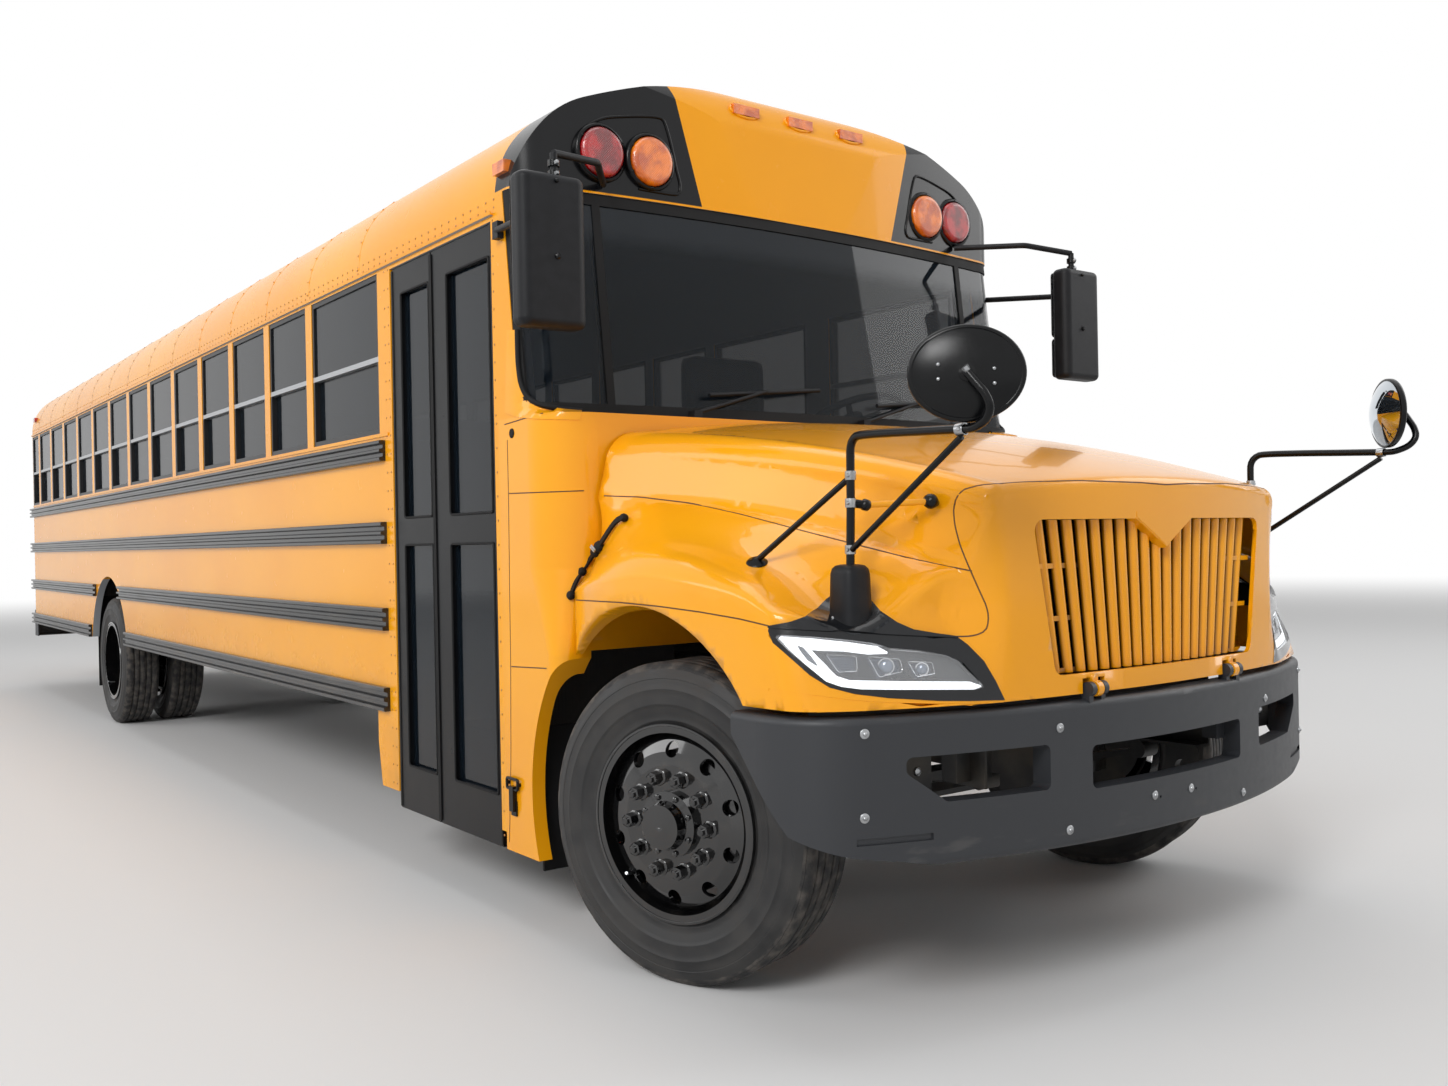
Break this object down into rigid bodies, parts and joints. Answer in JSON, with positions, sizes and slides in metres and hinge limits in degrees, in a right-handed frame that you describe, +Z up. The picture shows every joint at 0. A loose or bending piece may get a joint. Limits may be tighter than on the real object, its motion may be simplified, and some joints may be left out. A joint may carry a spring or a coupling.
{
  "type": "school bus",
  "caption": "Conventional school bus with a bonnet ahead of the windshield, two-leaf entrance door, folding stop arm, roof hatches and steered front wheels.",
  "frame": {"origin": "middle of the length and width, on the ground", "axes": "+X forward along the length, +Y to the bus's left, +Z up"},
  "size_m": [12.5275, 2.866, 3.1501],
  "materials": {
    "yellow_paint": "semi-gloss paint",
    "sash_metal": "dark anodised",
    "tinted_glass": "tinted",
    "black_rubber": "matt",
    "floor_rubber": "ribbed",
    "black_paint": "satin",
    "black_plastic": "satin",
    "bumper_black": "satin",
    "chassis_black": "satin",
    "cast_metal": "rough",
    "core_metal": "finned",
    "exhaust_steel": "dull",
    "red_lens": "moulded lens",
    "amber_lens": "moulded lens",
    "dash_plastic": "grained",
    "seat_vinyl": "grained vinyl",
    "seat_steel": "satin",
    "lamp_lens": "clear lens",
    "wheel_black": "gloss",
    "tyre_rubber": "matt",
    "door_black": "satin",
    "stop_red": "reflective red"
  },
  "bodies": {
    "bus_body": {"side_wall_right": "yellow_paint", "side_wall_left": "yellow_paint", "window_sashes": "sash_metal", "window_glass": "tinted_glass", "windshield_frame": "black_rubber", "roof": "yellow_paint", "front_cap": "yellow_paint", "cowl": "yellow_paint", "rear_wall": "yellow_paint", "floor": "floor_rubber", "rub_rails": "black_paint", "side_mirrors": "black_plastic", "front_bumper": "bumper_black", "rear_bumper": "bumper_black", "chassis_frame": "chassis_black", "engine_block": "cast_metal", "radiator": "core_metal", "fuel_tank": "chassis_black", "drive_shaft": "cast_metal", "exhaust": "exhaust_steel", "front_axle": "chassis_black", "rear_axle": "chassis_black", "leaf_springs": "chassis_black", "mud_flaps": "black_rubber", "red_lamps": "red_lens", "amber_lamps": "amber_lens", "dashboard": "dash_plastic", "seats": "seat_vinyl", "seat_frames": "seat_steel", "wipers": "black_plastic"},
    "hood": {"hood": "yellow_paint", "grille": "yellow_paint", "headlights": "lamp_lens", "crossover_mirrors": "black_plastic"},
    "front_right_knuckle": {"front_right_knuckle": "cast_metal"},
    "front_left_knuckle": {"front_left_knuckle": "cast_metal"},
    "front_right_wheel": {"front_right_wheel": "wheel_black", "front_right_tyre": "tyre_rubber"},
    "front_left_wheel": {"front_left_wheel": "wheel_black", "front_left_tyre": "tyre_rubber"},
    "rear_right_wheels": {"rear_right_wheels": "wheel_black", "rear_right_tyres": "tyre_rubber"},
    "rear_left_wheels": {"rear_left_wheels": "wheel_black", "rear_left_tyres": "tyre_rubber"},
    "tie_rod": {"tie_rod": "chassis_black"},
    "steering_wheel": {"steering_wheel": "dash_plastic"},
    "door_front_leaf": {"door_front_leaf": "door_black", "door_front_glass": "tinted_glass"},
    "door_rear_leaf": {"door_rear_leaf": "door_black", "door_rear_glass": "tinted_glass"},
    "rear_door": {"rear_door": "yellow_paint", "rear_door_glass": "tinted_glass"},
    "stop_arm": {"stop_arm": "stop_red"},
    "roof_hatch_front": {"roof_hatch_front": "yellow_paint"},
    "roof_hatch_rear": {"roof_hatch_rear": "yellow_paint"}
  },
  "joints": [
    {"name": "front_right_steer", "type": "hinge", "parent": "bus_body", "child": "front_right_knuckle", "pos_m": [4.9995, -0.94, 0.485], "axis": [0, 0, 1], "range_deg": [-55, 21]},
    {"name": "front_left_steer", "type": "hinge", "parent": "bus_body", "child": "front_left_knuckle", "pos_m": [4.9995, 0.94, 0.485], "axis": [0, 0, 1], "range_deg": [-55, 21]},
    {"name": "tie_rod_pivot", "type": "hinge", "parent": "front_right_knuckle", "child": "tie_rod", "pos_m": [4.7907, -0.9411, 0.35], "axis": [0, 0, 1], "range_deg": [-23, 59]},
    {"name": "front_right_spin", "type": "hinge", "parent": "front_right_knuckle", "child": "front_right_wheel", "pos_m": [5.02523, -1.02415, 0.485], "axis": [-0.2924, 0.9563, 0], "continuous": true},
    {"name": "front_left_spin", "type": "hinge", "parent": "front_left_knuckle", "child": "front_left_wheel", "pos_m": [4.97377, 1.02415, 0.485], "axis": [-0.2924, 0.9563, 0], "continuous": true},
    {"name": "rear_right_spin", "type": "hinge", "parent": "bus_body", "child": "rear_right_wheels", "pos_m": [-2.5305, -0.9145, 0.485], "axis": [0, 1, 0], "continuous": true},
    {"name": "rear_left_spin", "type": "hinge", "parent": "bus_body", "child": "rear_left_wheels", "pos_m": [-2.5305, 0.9145, 0.485], "axis": [0, 1, 0], "continuous": true},
    {"name": "steering_wheel_turn", "type": "hinge", "parent": "bus_body", "child": "steering_wheel", "pos_m": [4.0195, 0.6, 1.85], "axis": [-0.4226, 0, 0.9063], "range_deg": [-1000, 400]},
    {"name": "hood_tilt", "type": "hinge", "parent": "bus_body", "child": "hood", "pos_m": [5.9945, 0, 0.9], "axis": [0, 1, 0], "range_deg": [0, 75]},
    {"name": "door_front_swing", "type": "hinge", "parent": "bus_body", "child": "door_front_leaf", "pos_m": [4.1145, -1.212, 1.363], "axis": [0, 0, 1], "range_deg": [0, 88]},
    {"name": "door_rear_swing", "type": "hinge", "parent": "bus_body", "child": "door_rear_leaf", "pos_m": [3.1885, -1.212, 1.363], "axis": [0, 0, 1], "range_deg": [-88, 0]},
    {"name": "rear_door_swing", "type": "hinge", "parent": "bus_body", "child": "rear_door", "pos_m": [-6.0945, -0.356, 1.735], "axis": [0, 0, 1], "range_deg": [0, 110]},
    {"name": "stop_arm_swing", "type": "hinge", "parent": "bus_body", "child": "stop_arm", "pos_m": [3.9895, 1.281, 1.56], "axis": [0, 0, -1], "range_deg": [0, 90]},
    {"name": "roof_hatch_front_lift", "type": "hinge", "parent": "bus_body", "child": "roof_hatch_front", "pos_m": [1.6295, 0, 3.104], "axis": [0, 1, 0], "range_deg": [0, 80]},
    {"name": "roof_hatch_rear_lift", "type": "hinge", "parent": "bus_body", "child": "roof_hatch_rear", "pos_m": [-2.9705, 0, 3.104], "axis": [0, 1, 0], "range_deg": [0, 80]}
  ],
  "couplings": [
    {"joint": "front_left_steer", "follows": "front_right_steer", "ratio": 1},
    {"joint": "tie_rod_pivot", "follows": "front_right_steer", "ratio": -1.062},
    {"joint": "steering_wheel_turn", "follows": "front_right_steer", "ratio": 18},
    {"joint": "door_rear_swing", "follows": "door_front_swing", "ratio": -1}
  ]
}
